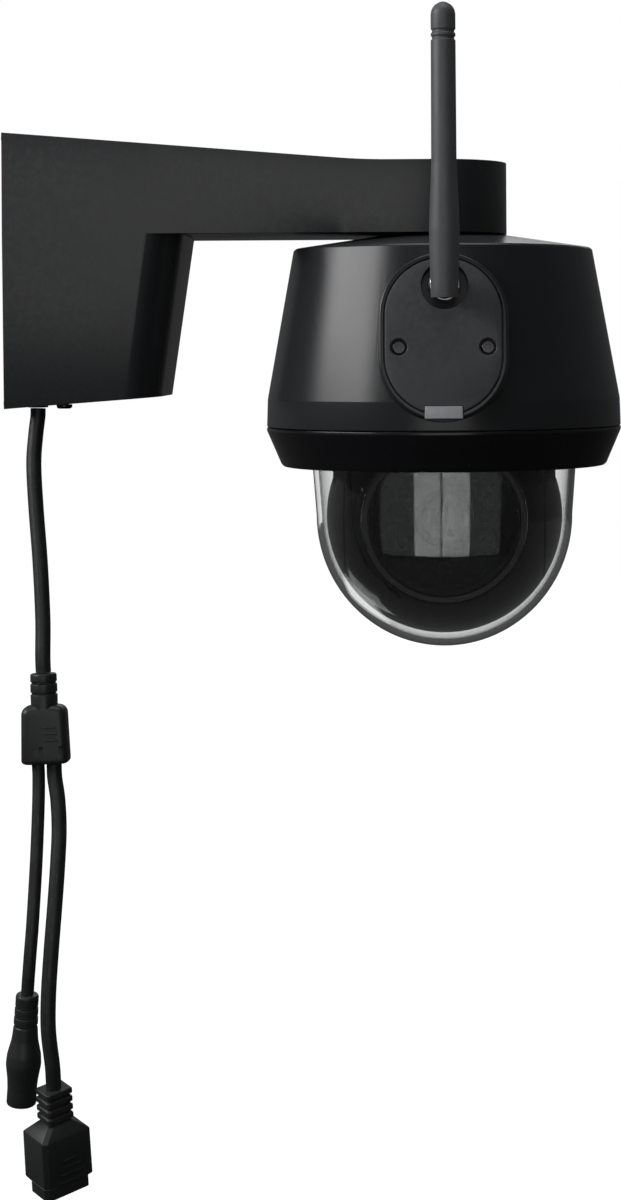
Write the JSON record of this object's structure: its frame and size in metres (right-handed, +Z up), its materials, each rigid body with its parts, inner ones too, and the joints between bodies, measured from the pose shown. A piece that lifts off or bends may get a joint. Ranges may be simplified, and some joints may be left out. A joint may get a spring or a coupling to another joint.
{
  "type": "pan and tilt dome security camera",
  "caption": "Wall-bracket dome camera with a panning and tilting ball, an elbow rod antenna, an access cover and a split cable with power and network sockets.",
  "frame": {"origin": "middle of the wall plate's back face", "axes": "+X out of the wall along the arm, +Z up, the access cover and the resting lens face -Y"},
  "size_m": [0.215, 0.1429, 0.4007],
  "materials": {
    "case": "satin black moulding with a fine grain",
    "band": "smooth black moulding",
    "cover": "matt charcoal moulding",
    "antenna_plastic": "soft-touch charcoal moulding",
    "ball_gloss": "glossy black",
    "bezel": "satin dark grey",
    "dark_glass": "polished dark tint",
    "dome_glass": "clear polycarbonate",
    "rubber": "matt black",
    "cable_jacket": "smooth black jacket",
    "cable_moulding": "satin black moulding",
    "light_tab": "light grey",
    "plate_steel": "zinc plated",
    "bright_steel": "bright",
    "black_steel": "blackened",
    "cast_alloy": "plain",
    "gold_brass": "gold plated",
    "circuit_board": "solder resist",
    "gear_nylon": "natural acetal",
    "inner_plastic": "black"
  },
  "bodies": {
    "bracket": {"wall_plate": "plate_steel", "bracket_shell": "case", "locking_screw": "black_steel", "cable_gland": "rubber", "inner_cable": "cable_jacket", "neck_nut": "cast_alloy", "neck_seal": "rubber", "head_housing": "case", "lower_ring": "band", "ring_screw_1": "black_steel", "ring_screw_2": "black_steel", "ring_screw_3": "black_steel", "dome_seal": "rubber", "clear_dome": "dome_glass", "chassis": "inner_plastic", "main_board": "circuit_board", "heat_sink": "cast_alloy", "pan_motor": "bright_steel", "pan_bearing": "bright_steel", "service_board": "circuit_board", "card_socket": "cast_alloy", "reset_switch": "inner_plastic", "cover_gasket": "rubber", "access_cover": "cover", "cover_screw_left": "black_steel", "cover_screw_right": "black_steel", "cover_tab": "light_tab", "antenna_jack": "gold_brass", "jack_nut": "bright_steel", "main_cable": "cable_jacket", "cable_splitter": "cable_moulding", "dc_cable": "cable_jacket", "dc_jack": "cable_moulding", "dc_jack_pin": "bright_steel", "lan_cable": "cable_jacket", "rj45_socket": "cable_moulding", "rj45_contacts": "gold_brass"},
    "antenna_base": {"antenna_base": "antenna_plastic", "antenna_pin": "bright_steel"},
    "antenna_rod": {"antenna_rod": "antenna_plastic"},
    "reset_button": {"reset_button": "light_tab"},
    "pan_pinion": {"pan_pinion": "gear_nylon"},
    "yoke": {"yoke": "ball_gloss", "pan_gear": "gear_nylon", "hub_clip": "bright_steel", "trunnion_left": "bright_steel", "trunnion_right": "bright_steel", "tilt_gear": "gear_nylon"},
    "eye": {"ball_front": "ball_gloss", "ball_rear": "ball_gloss", "bezel_ring": "bezel", "front_window": "dark_glass", "lens_barrel": "inner_plastic", "lens_glass": "dark_glass", "led_board": "circuit_board", "sensor_board": "circuit_board", "tilt_motor": "bright_steel"},
    "tilt_pinion": {"tilt_pinion": "gear_nylon"}
  },
  "joints": [
    {"name": "pan", "type": "hinge", "parent": "bracket", "child": "yoke", "pos_m": [0.152, 0, -0.086], "axis": [0, 0, 1], "range_deg": [-177.5, 177.5]},
    {"name": "tilt", "type": "hinge", "parent": "yoke", "child": "eye", "pos_m": [0.152, 0, -0.086], "axis": [1, 0, 0], "range_deg": [0, 90]},
    {"name": "pan_pinion_spin", "type": "hinge", "parent": "bracket", "child": "pan_pinion", "pos_m": [0.152, 0.0192, -0.0385], "axis": [0, 0, 1], "range_deg": [-532.5, 532.5]},
    {"name": "tilt_pinion_spin", "type": "hinge", "parent": "eye", "child": "tilt_pinion", "pos_m": [0.1807, 0.0192, -0.086], "axis": [1, 0, 0], "range_deg": [0, 270]},
    {"name": "antenna_swivel", "type": "hinge", "parent": "bracket", "child": "antenna_base", "pos_m": [0.1525, -0.06, -0.0058], "axis": [0, -1, 0], "range_deg": [-180, 180]},
    {"name": "antenna_tilt", "type": "hinge", "parent": "antenna_base", "child": "antenna_rod", "pos_m": [0.1525, -0.075, -0.0058], "axis": [1, 0, 0], "range_deg": [0, 90]},
    {"name": "reset_press", "type": "slide", "parent": "bracket", "child": "reset_button", "axis": [0, 0.9843, -0.1766], "range_m": [0, 0.0005], "stiffness_N_per_m": 2000}
  ],
  "couplings": [
    {"joint": "pan_pinion_spin", "follows": "pan", "ratio": -3},
    {"joint": "tilt_pinion_spin", "follows": "tilt", "ratio": 3}
  ]
}
